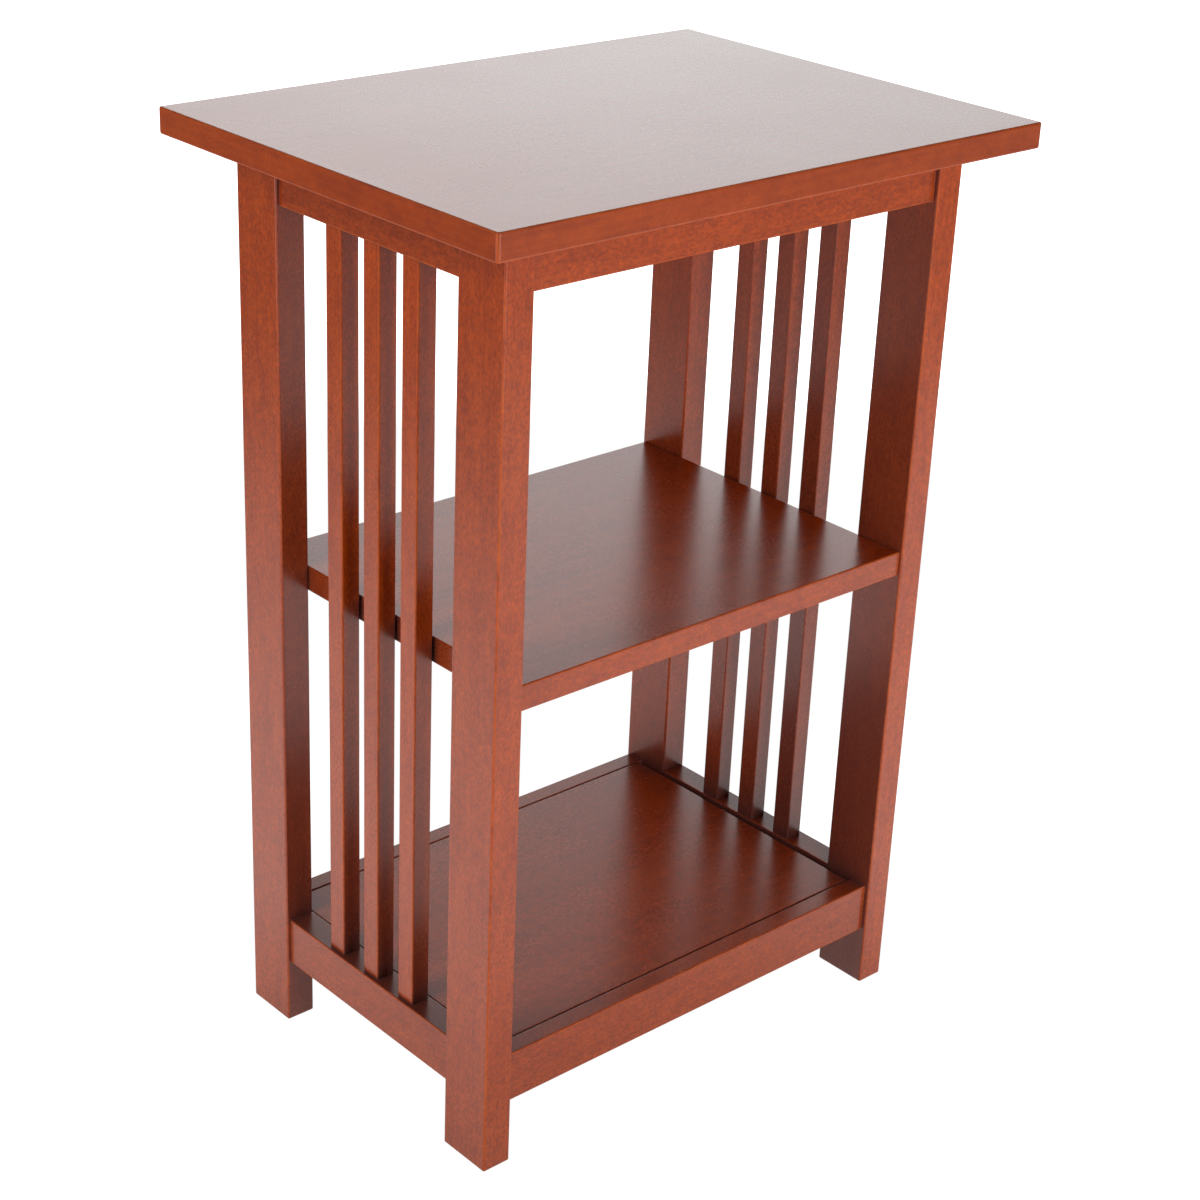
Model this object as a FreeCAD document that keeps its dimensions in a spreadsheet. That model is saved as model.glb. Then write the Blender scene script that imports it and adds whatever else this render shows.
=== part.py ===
import FreeCAD, Part
import os
import re
import Sketcher

# An end table with slatted sides, a middle shelf and a framed bottom shelf.
# X runs along the open front, Y to the back, Z up; the origin is on the floor under the middle.

# Driving sizes, in millimetres unless the name ends in share
SIZES = {
    # Whole table and its top
    "table_height": 695.0,
    "top_width": 482.5,
    "top_depth": 355.0,
    "top_thick": 18.5,
    "top_lipping_thick": 8.0,
    "top_corner_round": 2.5,
    "top_edge_round": 1.5,
    "side_overhang": 36.5,
    "front_overhang": 36.25,
    # Legs
    "leg_width": 23.25,
    "leg_depth": 45.25,
    "leg_round": 1.5,
    # Aprons under the top and rails near the floor
    "side_apron_height": 36.25,
    "front_apron_height": 37.75,
    "side_rail_height": 37.5,
    "front_rail_height": 39.5,
    "side_rail_top": 88.5,
    "front_rail_top": 87.75,
    "rail_round": 0.75,
    "side_recess": 3.0,
    "front_recess": 3.75,
    "front_rail_thick": 15.0,
    # Slats of the side frames, with stub tenons
    "slat_thick": 14.75,
    "slat_width": 16.75,
    "slat_pitch": 41.0,
    "slat_setback": 3.5,
    "slat_round": 1.0,
    "tenon_shoulder": 3.0,
    "tenon_length": 10.0,
    "tenon_clearance": 0.15,
    # Middle shelf
    "shelf_top": 374.75,
    "shelf_thick": 19.0,
    "shelf_recess": 2.5,
    "shelf_round": 1.25,
    "shelf_lipping_thick": 6.0,
    # Bottom panel, let in flush between the lower rails and a little to the left
    "panel_thick": 15.0,
    "panel_round": 0.5,
    "panel_side_gap": 3.0,
    "panel_front_gap": 1.25,
    "panel_shift": 2.0,
    # Battens that hold the top and the bottom panel
    "batten_thick": 18.0,
    "batten_length": 260.0,
    "batten_round": 0.75,
    "screw_pitch": 100.0,
    # Wooden dowels
    "dowel_diameter": 8.0,
    "dowel_length": 30.0,
    "dowel_bite": 12.0,
    "dowel_chamfer": 1.0,
    "dowel_clearance": 0.1,
    "bore_end_gap": 1.0,
    "bore_spacing_share": 0.46,
    "shelf_dowel_inset": 7.0,
    "shelf_bore_spacing": 16.0,
    # Cam locks and the studs that they pull on
    "cam_diameter": 12.0,
    "cam_height": 9.5,
    "cam_clearance": 0.1,
    "cam_axis_depth": 6.0,
    "cam_setback": 24.0,
    "stud_diameter": 5.0,
    "stud_bite": 11.0,
    "stud_clearance": 0.1,
    "stud_neck_diameter": 3.5,
    "stud_neck_length": 3.0,
    "stud_head_diameter": 5.5,
    "stud_head_length": 3.0,
    "stud_way_clearance": 0.4,
    # Round-head wood screws
    "screw_diameter": 4.0,
    "screw_bite": 10.0,
    "screw_point_length": 4.0,
    "screw_point_diameter": 0.6,
    "screw_clearance": 0.1,
    "screw_head_diameter": 7.5,
    "screw_head_height": 2.6,
    "screw_head_rim": 0.8,
    "screw_crown_diameter": 4.8,
    # Cross recesses of screws and cams
    "recess_span": 4.0,
    "recess_slot": 0.9,
    "recess_depth": 1.2,
}

# Derived sizes and places, as formulas of the driving sizes
LEG_LENGTH = "(table_height - top_thick)"
OUTER_X = "(top_width / 2 - side_overhang)"
OUTER_Y = "(top_depth / 2 - front_overhang)"
INNER_X = f"({OUTER_X} - leg_width)"
INNER_Y = f"({OUTER_Y} - leg_depth)"
SIDE_THICK = "(leg_width - side_recess)"
SIDE_X = f"({INNER_X} + {SIDE_THICK} / 2)"
CROSS_INNER_Y = f"({OUTER_Y} - front_recess - front_rail_thick)"
CROSS_AXIS_Y = f"({CROSS_INNER_Y} + cam_axis_depth)"
SIDE_APRON_Z = f"({LEG_LENGTH} - side_apron_height / 2)"
SIDE_RAIL_Z = "(side_rail_top - side_rail_height / 2)"
CROSS_APRON_Z = f"({LEG_LENGTH} - front_apron_height / 2)"
CROSS_RAIL_Z = "(front_rail_top - front_rail_height / 2)"
APRON_BOTTOM = f"({LEG_LENGTH} - side_apron_height)"
SLAT_X = f"({INNER_X} + {SIDE_THICK} - slat_setback - slat_thick / 2)"
SLAT_LENGTH = f"({APRON_BOTTOM} - side_rail_top)"
TENON_THICK = "(slat_thick - 2 * tenon_shoulder)"
TENON_WIDTH = "(slat_width - 2 * tenon_shoulder)"
SHELF_Z = "(shelf_top - shelf_thick / 2)"
SHELF_UNDER = "(shelf_top - shelf_thick)"
SHELF_FRONT = f"({OUTER_Y} - shelf_recess)"
SHELF_CORE_Y = f"({SHELF_FRONT} - shelf_lipping_thick)"
SHELF_AXIS_Z = f"({SHELF_UNDER} + cam_axis_depth)"
SHELF_DOWEL_Y = f"({SHELF_CORE_Y} - shelf_dowel_inset)"
SHELF_STUD_Y = f"({SHELF_DOWEL_Y} - shelf_bore_spacing)"
PANEL_UNDER = "(front_rail_top - panel_thick)"
BATTEN_Y = f"({CROSS_INNER_Y} - batten_thick / 2)"
BATTEN_INNER_Y = f"({CROSS_INNER_Y} - batten_thick)"
DOWEL_BORE = "(dowel_diameter + 2 * dowel_clearance)"
DOWEL_TAIL = "(dowel_length - dowel_bite)"
TAIL_DEPTH = f"({DOWEL_TAIL} + bore_end_gap)"
STUD_BORE = "(stud_diameter + 2 * stud_clearance)"
STUD_WAY = "(stud_head_diameter + 2 * stud_way_clearance)"
CAM_BORE = "(cam_diameter + 2 * cam_clearance)"
SCREW_BORE = "(screw_diameter + 2 * screw_clearance)"

SIDES = {"left": -1, "right": 1}
ENDS = {"front": -1, "back": 1}
STEPS = {"front": -1, "middle": 0, "back": 1}
HALVES = (-1, 1)

# Section plane square to each axis, the axes of a sketch on it, and which way its normal points
PLANES = {
    "X": ("YZ_Plane", "YZ", 1),
    "Y": ("XZ_Plane", "XZ", -1),
    "Z": ("XY_Plane", "XY", 1),
}
AXES = "XYZ"
PARALLEL_SHARE = 0.99

doc = FreeCAD.newDocument("end_table")
sheet = doc.addObject("Spreadsheet::Sheet", "Sizes")
for row, (alias, value) in enumerate(SIZES.items(), start=1):
    sheet.set(f"A{row}", alias)
    sheet.set(f"B{row}", str(value))
    sheet.setAlias(f"B{row}", alias)
doc.recompute()

nodes = []
places = {}


# Binding to the sheet
def formula(text):
    """Points every size named in a formula at its cell."""
    return re.sub("|".join(sorted(SIZES, reverse=True)), r"Sizes.\g<0>", text)


def amount(text):
    """Gives a formula's present value."""
    return float(sheet.evalExpression(formula(text)))


def bind(item, path, text):
    item.setExpression(path, formula(text))


def set_place(item, spot, path="Placement"):
    for axis, text in zip("xyz", spot):
        bind(item, f"{path}.Base.{axis}", text)


# Sketches and features
def new_body(label, spot=("0", "0", "0")):
    """Starts a piece whose own origin stands at a spot of the table."""
    body = doc.addObject("PartDesign::Body", label)
    body.Label = label
    set_place(body, spot)
    places[label] = spot
    return body


def new_sketch(body, name, axis, offset):
    """Starts a sketch square to an axis, at an offset along it from the piece's origin."""
    role, _, facing = PLANES[axis]
    plane = next(item for item in body.Origin.OriginFeatures if item.Role == role)
    sketch = body.newObject("Sketcher::SketchObject", f"{body.Label}_{name}_sketch")
    sketch.AttachmentSupport = [(plane, "")]
    sketch.MapMode = "FlatFace"
    bind(sketch, "AttachmentOffset.Base.z", f"{facing} * ({offset})")
    return sketch


def fix(sketch, name, kind, *where, text):
    """Adds a dimension to a sketch and binds it to a formula."""
    index = sketch.addConstraint(Sketcher.Constraint(kind, *where, amount(text)))
    sketch.renameConstraint(index, name)
    bind(sketch, f"Constraints.{name}", text)


def fix_point(sketch, name, geometry, point, across, up):
    """Dimensions a point from the sketch's origin."""
    fix(sketch, f"{name}_across", "DistanceX", -1, 1, geometry, point, text=across)
    fix(sketch, f"{name}_up", "DistanceY", -1, 1, geometry, point, text=up)


def add_outline(sketch, corners):
    """Draws a closed outline through corners that are each dimensioned from the origin."""
    points = [FreeCAD.Vector(amount(across), amount(up), 0) for across, up in corners]
    lines = [
        sketch.addGeometry(Part.LineSegment(start, end), False)
        for start, end in zip(points, points[1:] + points[:1])
    ]
    for line, following in zip(lines, lines[1:] + lines[:1]):
        sketch.addConstraint(Sketcher.Constraint("Coincident", line, 2, following, 1))
    for index, (line, (across, up)) in enumerate(zip(lines, corners)):
        fix_point(sketch, f"corner_{index}", line, 1, across, up)


def add_rectangle(sketch, name, width, height, across="0", up="0"):
    """Draws a rectangle round a centre, with its two sides dimensioned."""
    centre = FreeCAD.Vector(amount(across), amount(up), 0)
    half = FreeCAD.Vector(amount(width) / 2, amount(height) / 2, 0)
    turned = FreeCAD.Vector(half.x, -half.y, 0)
    points = [centre - half, centre + turned, centre + half, centre - turned]
    lines = [
        sketch.addGeometry(Part.LineSegment(start, end), False)
        for start, end in zip(points, points[1:] + points[:1])
    ]
    for line, following in zip(lines, lines[1:] + lines[:1]):
        sketch.addConstraint(Sketcher.Constraint("Coincident", line, 2, following, 1))
    for line, kind in zip(lines, ("Horizontal", "Vertical") * 2):
        sketch.addConstraint(Sketcher.Constraint(kind, line))
    middle = sketch.addGeometry(Part.Point(centre), True)
    sketch.addConstraint(Sketcher.Constraint("Symmetric", lines[0], 1, lines[2], 1, middle, 1))
    fix(sketch, f"{name}_width", "DistanceX", lines[0], 1, lines[0], 2, text=width)
    fix(sketch, f"{name}_height", "DistanceY", lines[1], 1, lines[1], 2, text=height)
    fix_point(sketch, f"{name}_centre", middle, 1, across, up)


def add_circle(sketch, name, diameter, across="0", up="0"):
    centre = FreeCAD.Vector(amount(across), amount(up), 0)
    circle = sketch.addGeometry(Part.Circle(centre, FreeCAD.Vector(0, 0, 1), amount(diameter) / 2), False)
    fix(sketch, f"{name}_diameter", "Diameter", circle, text=diameter)
    fix_point(sketch, f"{name}_centre", circle, 3, across, up)


def add_pad(body, name, sketch, length, sides="Symmetric"):
    pad = body.newObject("PartDesign::Pad", f"{body.Label}_{name}")
    pad.Profile = sketch
    pad.SideType = sides
    bind(pad, "Length", length)
    doc.recompute()


def add_pocket(body, name, sketch, axis, heading, depth):
    """Sinks a sketch into the piece along an axis, and makes sure that it took material away."""
    before = body.Shape.Volume
    pocket = body.newObject("PartDesign::Pocket", f"{body.Label}_{name}")
    pocket.Profile = sketch
    pocket.Reversed = heading == PLANES[axis][2]
    bind(pocket, "Length", depth)
    doc.recompute()
    if not body.Shape.Volume < before:
        raise RuntimeError(f"{pocket.Label} cuts nothing")


def local(body, spot):
    """Gives a spot of the table from the piece's own origin."""
    return {axis: f"{far} - ({near})" for axis, far, near in zip(AXES, spot, places[body.Label])}


def bore(body, name, axis, heading, spots, diameter, depth):
    """Drills alike holes along an axis, from the face that the spots lie on."""
    spots = [local(body, spot) for spot in spots]
    across, up = PLANES[axis][1]
    sketch = new_sketch(body, name, axis, spots[0][axis])
    for index, spot in enumerate(spots):
        add_circle(sketch, f"hole_{index}", diameter, spot[across], spot[up])
    doc.recompute()
    add_pocket(body, name, sketch, axis, heading, depth)


def runs(edge, axis):
    """Tells whether an edge is straight along an axis."""
    run = edge.Vertexes[-1].Point - edge.Vertexes[0].Point
    return abs(run[AXES.index(axis)]) > PARALLEL_SHARE * edge.Length


def ease(body, name, radius, wanted):
    """Rounds the edges of the piece so far that a test accepts."""
    base = body.Tip
    edges = [f"Edge{index}" for index, edge in enumerate(base.Shape.Edges, start=1) if wanted(edge)]
    fillet = body.newObject("PartDesign::Fillet", f"{body.Label}_{name}")
    fillet.Base = (base, edges)
    bind(fillet, "Radius", radius)
    doc.recompute()


def board(label, axis, size, spot):
    """Makes a plain board centred on a spot, its section drawn square to the axis it is padded along."""
    body = new_body(label, spot)
    sizes = dict(zip(AXES, size))
    across, up = PLANES[axis][1]
    sketch = new_sketch(body, "section", axis, "0")
    add_rectangle(sketch, "section", sizes[across], sizes[up])
    add_pad(body, "blank", sketch, sizes[axis])
    return body


# Joint spots, shared by the bores on both sides of a joint and by what sits in them
def side_dowel_spots(side, end, middle, height):
    """Two dowels, one above the other, where a side apron or rail meets a leg."""
    ups = [f"{middle} + {half} * {height} * bore_spacing_share / 2" for half in HALVES]
    return [(f"{side} * {SIDE_X}", f"{end} * {INNER_Y}", up) for up in ups]


def side_frame_dowel_spots(side, end):
    return [
        *side_dowel_spots(side, end, SIDE_APRON_Z, "side_apron_height"),
        *side_dowel_spots(side, end, SIDE_RAIL_Z, "side_rail_height"),
    ]


def cross_spot(side, end, middle, height, half):
    """The stud below, or the dowel above, where a front or back member meets a leg."""
    up = f"{middle} + {half} * {height} * bore_spacing_share / 2"
    return (f"{side} * {INNER_X}", f"{end} * {CROSS_AXIS_Y}", up)


def stud_spots(side, end):
    return [
        cross_spot(side, end, CROSS_APRON_Z, "front_apron_height", -1),
        cross_spot(side, end, CROSS_RAIL_Z, "front_rail_height", -1),
        (f"{side} * {INNER_X}", f"{end} * {SHELF_STUD_Y}", SHELF_AXIS_Z),
    ]


def cross_dowel_spots(side, end):
    return [
        cross_spot(side, end, CROSS_APRON_Z, "front_apron_height", 1),
        cross_spot(side, end, CROSS_RAIL_Z, "front_rail_height", 1),
    ]


def shelf_dowel_spot(side, end):
    return (f"{side} * {INNER_X}", f"{end} * {SHELF_DOWEL_Y}", SHELF_AXIS_Z)


def rising_screw_spots(end, upper_face):
    """Three screws up through a batten, at its underside."""
    under = f"{upper_face} - batten_thick"
    return [(f"{step} * screw_pitch", f"{end} * {BATTEN_Y}", under) for step in STEPS.values()]


def batten_screw_spots(end, upper_face):
    """Two screws out through a batten into the member behind it, at the batten's open face."""
    up = f"{upper_face} - batten_thick / 2"
    return [(f"{half} * screw_pitch / 2", f"{end} * {BATTEN_INNER_Y}", up) for half in HALVES]


def moved(spot, axis, text):
    """Shifts a spot along an axis."""
    return tuple(f"{here} + {text}" if name == axis else here for name, here in zip(AXES, spot))


# Top: a board with mitred lippings
def make_top():
    middle = f"({LEG_LENGTH} + top_thick / 2)"
    core_width = "(top_width - 2 * top_lipping_thick)"
    core_depth = "(top_depth - 2 * top_lipping_thick)"
    panel = board("top_panel", "Z", (core_width, core_depth, "top_thick"), ("0", "0", middle))
    screws = [spot for end in HALVES for spot in rising_screw_spots(end, LEG_LENGTH)]
    spots = [moved(spot, "Z", "batten_thick") for spot in screws]
    bore(panel, "screw_bores", "Z", 1, spots, SCREW_BORE, "screw_bite + bore_end_gap")
    nodes.append(panel)

    blank = board("top_blank", "Z", ("top_width", "top_depth", "top_thick"), ("0", "0", middle))
    ease(blank, "corners", "top_corner_round", lambda edge: runs(edge, "Z"))
    ease(blank, "arrises", "top_edge_round", lambda edge: not runs(edge, "Z"))
    for label, run, reach, turn in (
        ("top_lipping_front", "top_width", "top_depth", 0),
        ("top_lipping_right", "top_depth", "top_width", 90),
        ("top_lipping_back", "top_width", "top_depth", 180),
        ("top_lipping_left", "top_depth", "top_width", 270),
    ):
        mitre = doc.addObject("Part::Wedge", f"{label}_mitre")
        for name, text in (
            ("Xmin", f"-{run} / 2"),
            ("Xmax", f"{run} / 2"),
            ("X2min", f"top_lipping_thick - {run} / 2"),
            ("X2max", f"{run} / 2 - top_lipping_thick"),
            ("Ymin", f"-{reach} / 2"),
            ("Ymax", f"top_lipping_thick - {reach} / 2"),
            ("Zmin", "0"),
            ("Z2min", "0"),
            ("Zmax", "top_thick"),
            ("Z2max", "top_thick"),
        ):
            bind(mitre, name, text)
        mitre.Placement = FreeCAD.Placement(FreeCAD.Vector(), FreeCAD.Rotation(turn, 0, 0))
        bind(mitre, "Placement.Base.z", LEG_LENGTH)
        lipping = doc.addObject("Part::Common", label)
        lipping.Base = blank
        lipping.Tool = mitre
        nodes.append(lipping)


# Legs, with the bores of every joint that they take
def make_leg(label, side, end):
    across = f"{side} * ({OUTER_X} - leg_width / 2)"
    back = f"{end} * ({OUTER_Y} - leg_depth / 2)"
    leg = board(label, "Z", ("leg_width", "leg_depth", LEG_LENGTH), (across, back, f"{LEG_LENGTH} / 2"))
    ease(leg, "arrises", "leg_round", lambda edge: runs(edge, "Z") or edge.BoundBox.ZMax < 0)
    depth = "dowel_bite + bore_end_gap"
    bore(leg, "side_dowel_bores", "Y", end, side_frame_dowel_spots(side, end), DOWEL_BORE, depth)
    dowels = cross_dowel_spots(side, end) + [shelf_dowel_spot(side, end)]
    bore(leg, "cross_dowel_bores", "X", side, dowels, DOWEL_BORE, depth)
    bore(leg, "stud_bores", "X", side, stud_spots(side, end), STUD_BORE, "stud_bite + bore_end_gap")
    nodes.append(leg)


# Side frames: an apron and a rail with mortises, and the slats between them
def make_side_member(label, side, middle, height, slat_face, heading):
    size = (SIDE_THICK, f"2 * {INNER_Y}", height)
    member = board(label, "Y", size, (f"{side} * {SIDE_X}", "0", middle))
    ease(member, "arrises", "rail_round", lambda edge: runs(edge, "Y"))
    for end_label, end in ENDS.items():
        spots = side_dowel_spots(side, end, middle, height)
        bore(member, f"{end_label}_dowel_bores", "Y", -end, spots, DOWEL_BORE, TAIL_DEPTH)
    sketch = new_sketch(member, "mortises", "Z", f"{slat_face} - {middle}")
    thick = f"{TENON_THICK} + 2 * tenon_clearance"
    width = f"{TENON_WIDTH} + 2 * tenon_clearance"
    across = f"{side} * ({SLAT_X} - {SIDE_X})"
    for step_label, step in STEPS.items():
        add_rectangle(sketch, f"{step_label}_mortise", thick, width, across, f"{step} * slat_pitch")
    doc.recompute()
    add_pocket(member, "mortises", sketch, "Z", heading, "tenon_length + bore_end_gap")
    nodes.append(member)


def make_slat(label, side, step):
    spot = (f"{side} * {SLAT_X}", f"{step} * slat_pitch", f"side_rail_top + {SLAT_LENGTH} / 2")
    slat = board(label, "Z", ("slat_thick", "slat_width", SLAT_LENGTH), spot)
    ease(slat, "arrises", "slat_round", lambda edge: runs(edge, "Z"))
    sketch = new_sketch(slat, "tenons", "Z", "0")
    add_rectangle(sketch, "tenon", TENON_THICK, TENON_WIDTH)
    add_pad(slat, "tenons", sketch, f"{SLAT_LENGTH} + 2 * tenon_length")
    nodes.append(slat)


# Front and back aprons and rails, held by a dowel and a cam at each end
def make_cross_member(label, end, middle, height, batten_face):
    size = (f"2 * {INNER_X}", "front_rail_thick", height)
    back = f"{end} * ({CROSS_INNER_Y} + front_rail_thick / 2)"
    member = board(label, "X", size, ("0", back, middle))
    ease(member, "arrises", "rail_round", lambda edge: runs(edge, "X"))
    for side_label, side in SIDES.items():
        stud = cross_spot(side, end, middle, height, -1)
        dowel = cross_spot(side, end, middle, height, 1)
        cam = cam_spot(stud, side, "Y", end)
        bore(member, f"{side_label}_dowel_bore", "X", -side, [dowel], DOWEL_BORE, TAIL_DEPTH)
        bore(member, f"{side_label}_stud_bore", "X", -side, [stud], STUD_WAY, "cam_setback")
        bore(member, f"{side_label}_cam_bore", "Y", end, [cam], CAM_BORE, "cam_height + cam_clearance")
    spots = [moved(spot, "Y", f"{end} * batten_thick") for spot in batten_screw_spots(end, batten_face)]
    bore(member, "screw_bores", "Y", end, spots, SCREW_BORE, "screw_bite + bore_end_gap")
    nodes.append(member)


def cam_spot(stud, side, axis, heading):
    """The middle of a cam's open face, given its stud's spot and the way the cam is let in."""
    spot = moved(stud, "X", f"{-side} * cam_setback")
    return moved(spot, axis, f"{-heading} * cam_axis_depth")


# Middle shelf: a board between the legs, with a lipping along its front and back
def make_shelf():
    size = (f"2 * {INNER_X}", f"2 * {SHELF_CORE_Y}", "shelf_thick")
    core = board("shelf_board", "X", size, ("0", "0", SHELF_Z))
    ease(core, "arrises", "shelf_round", lambda edge: runs(edge, "Y"))
    for side_label, side in SIDES.items():
        dowels = [shelf_dowel_spot(side, end) for end in HALVES]
        studs = [stud_spots(side, end)[-1] for end in HALVES]
        cams = [cam_spot(stud, side, "Z", 1) for stud in studs]
        bore(core, f"{side_label}_dowel_bores", "X", -side, dowels, DOWEL_BORE, TAIL_DEPTH)
        bore(core, f"{side_label}_stud_bores", "X", -side, studs, STUD_WAY, "cam_setback")
        bore(core, f"{side_label}_cam_bores", "Z", 1, cams, CAM_BORE, "cam_height + cam_clearance")
    nodes.append(core)
    for end_label, end in ENDS.items():
        size = (f"2 * {INNER_X}", "shelf_lipping_thick", "shelf_thick")
        spot = ("0", f"{end} * ({SHELF_CORE_Y} + shelf_lipping_thick / 2)", SHELF_Z)
        lipping = board(f"shelf_lipping_{end_label}", "X", size, spot)
        ease(lipping, "arrises", "shelf_round",
             lambda edge: runs(edge, "Y") or runs(edge, "X") and end * edge.CenterOfMass.y > 0)
        nodes.append(lipping)


# Bottom panel, which lies on battens between the lower rails
def make_panel():
    width = f"2 * ({INNER_X} - panel_side_gap)"
    depth = f"2 * ({CROSS_INNER_Y} - panel_front_gap)"
    spot = ("-panel_shift", "0", "(front_rail_top - panel_thick / 2)")
    panel = board("bottom_panel", "Z", (width, depth, "panel_thick"), spot)
    ease(panel, "arrises", "panel_round", lambda edge: edge.BoundBox.ZMin > 0)
    screws = [spot for end in HALVES for spot in rising_screw_spots(end, PANEL_UNDER)]
    spots = [moved(spot, "Z", "batten_thick") for spot in screws]
    bore(panel, "screw_bores", "Z", 1, spots, SCREW_BORE, "screw_bite + bore_end_gap")
    nodes.append(panel)


def make_batten(label, end, upper_face):
    """A batten under the top or the panel, with three bores up through it and two out through it."""
    middle = f"({upper_face} - batten_thick / 2)"
    size = ("batten_length", "batten_thick", "batten_thick")
    batten = board(label, "X", size, ("0", f"{end} * {BATTEN_Y}", middle))
    ease(batten, "arrises", "batten_round", lambda edge: runs(edge, "X"))
    rising = rising_screw_spots(end, upper_face)
    level = batten_screw_spots(end, upper_face)
    bore(batten, "rising_bores", "Z", 1, rising, SCREW_BORE, "batten_thick")
    bore(batten, "level_bores", "Y", end, level, SCREW_BORE, "batten_thick")
    nodes.append(batten)


# Fittings, each drawn once about its own joint face and then set at its spots
def cross_recess():
    """The corners of a plus-shaped recess."""
    arm = "recess_span / 2"
    slot = "recess_slot / 2"
    quarter = [(arm, f"-{slot}"), (arm, slot), (slot, slot)]
    corners = []
    for turn in range(4):
        corners += quarter
        quarter = [(flipped(up), across) for across, up in quarter]
    return corners


def flipped(text):
    return text[1:] if text.startswith("-") else f"-{text}"


def turned_piece(label, profile):
    """A round piece turned about Z from half its outline."""
    body = new_body(label)
    sketch = new_sketch(body, "profile", "Y", "0")
    add_outline(sketch, profile)
    doc.recompute()
    turning = body.newObject("PartDesign::Revolution", f"{label}_turning")
    turning.Profile = sketch
    turning.ReferenceAxis = (sketch, ["V_Axis"])
    doc.recompute()
    return body


def make_dowel():
    """A dowel that reaches up into the leg by its bite and down into the other member by its tail."""
    dowel = new_body("dowel")
    sketch = new_sketch(dowel, "section", "Z", f"-{DOWEL_TAIL}")
    add_circle(sketch, "section", "dowel_diameter")
    add_pad(dowel, "blank", sketch, "dowel_length", "One side")
    rims = [f"Edge{index}" for index, edge in enumerate(dowel.Shape.Edges, start=1) if not runs(edge, "Z")]
    blank = dowel.Tip
    chamfer = dowel.newObject("PartDesign::Chamfer", "dowel_chamfers")
    chamfer.Base = (blank, rims)
    bind(chamfer, "Size", "dowel_chamfer")
    return dowel


def make_stud():
    """A stud that bites down into the leg, with a neck and head up in the cam."""
    head_top = "cam_setback + stud_head_length / 2"
    head_foot = "cam_setback - stud_head_length / 2"
    neck_foot = f"{head_foot} - stud_neck_length"
    return turned_piece("cam_stud", [
        ("0", "-stud_bite"),
        ("stud_diameter / 2", "-stud_bite"),
        ("stud_diameter / 2", neck_foot),
        ("stud_neck_diameter / 2", neck_foot),
        ("stud_neck_diameter / 2", head_foot),
        ("stud_head_diameter / 2", head_foot),
        ("stud_head_diameter / 2", head_top),
        ("0", head_top),
    ])


def make_screw():
    """A screw whose head sits below Z zero and whose point is up."""
    reach = "batten_thick + screw_bite"
    screw = turned_piece("screw", [
        ("0", "-screw_head_height"),
        ("screw_crown_diameter / 2", "-screw_head_height"),
        ("screw_head_diameter / 2", "-screw_head_rim"),
        ("screw_head_diameter / 2", "0"),
        ("screw_diameter / 2", "0"),
        ("screw_diameter / 2", f"{reach} - screw_point_length"),
        ("screw_point_diameter / 2", reach),
        ("0", reach),
    ])
    sketch = new_sketch(screw, "recess", "Z", "-screw_head_height")
    add_outline(sketch, cross_recess())
    doc.recompute()
    add_pocket(screw, "recess", sketch, "Z", 1, "recess_depth")
    return screw


def make_cam():
    """A cam with its open face at Z zero and its way for the stud along X."""
    cam = new_body("cam")
    sketch = new_sketch(cam, "section", "Z", "-cam_height")
    add_circle(sketch, "section", "cam_diameter")
    add_pad(cam, "blank", sketch, "cam_height", "One side")
    sketch = new_sketch(cam, "recess", "Z", "0")
    add_outline(sketch, cross_recess())
    doc.recompute()
    add_pocket(cam, "recess", sketch, "Z", -1, "recess_depth")
    way_length = "cam_diameter / 2 + stud_head_length / 2 + stud_way_clearance"
    mouth = [("-cam_diameter / 2", "0", "-cam_axis_depth")]
    bore(cam, "stud_way", "X", 1, mouth, STUD_WAY, way_length)
    return cam


def pointing(x, y, z):
    """The turn that points a fitting's Z along a direction."""
    return FreeCAD.Rotation(FreeCAD.Vector(0, 0, 1), FreeCAD.Vector(x, y, z))


def group(label, fitting, settings):
    """Sets copies of a fitting at their spots, as separate solids under one name."""
    copies = []
    for index, (spot, turn) in enumerate(settings):
        copy = doc.addObject("App::Link", f"{label}_{index}")
        copy.LinkedObject = fitting
        copy.LinkPlacement = FreeCAD.Placement(FreeCAD.Vector(), turn)
        set_place(copy, spot, "LinkPlacement")
        copies.append(copy)
    compound = doc.addObject("Part::Compound", label)
    compound.Links = copies
    nodes.append(compound)


def make_dowel_groups():
    dowel = make_dowel()
    corners = [(side, end) for side in HALVES for end in HALVES]
    group("side_frame_dowels", dowel, [
        (spot, pointing(0, end, 0)) for side, end in corners for spot in side_frame_dowel_spots(side, end)
    ])
    group("cross_member_dowels", dowel, [
        (spot, pointing(side, 0, 0)) for side, end in corners for spot in cross_dowel_spots(side, end)
    ])
    group("shelf_dowels", dowel, [
        (shelf_dowel_spot(side, end), pointing(side, 0, 0)) for side, end in corners
    ])


def make_cam_groups():
    stud = make_stud()
    cam = make_cam()
    stud_settings = []
    cam_settings = []
    for side in HALVES:
        inward = FreeCAD.Vector(-side, 0, 0)
        for end in HALVES:
            *member_spots, shelf_spot = stud_spots(side, end)
            stud_settings += [(spot, pointing(-side, 0, 0)) for spot in member_spots + [shelf_spot]]
            open_face = FreeCAD.Vector(0, -end, 0)
            turn = FreeCAD.Rotation(inward, open_face.cross(inward), open_face, "ZXY")
            cam_settings += [(cam_spot(spot, side, "Y", end), turn) for spot in member_spots]
            open_face = FreeCAD.Vector(0, 0, -1)
            turn = FreeCAD.Rotation(inward, open_face.cross(inward), open_face, "ZXY")
            cam_settings.append((cam_spot(shelf_spot, side, "Z", 1), turn))
    group("cam_studs", stud, stud_settings)
    group("cam_locks", cam, cam_settings)


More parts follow.
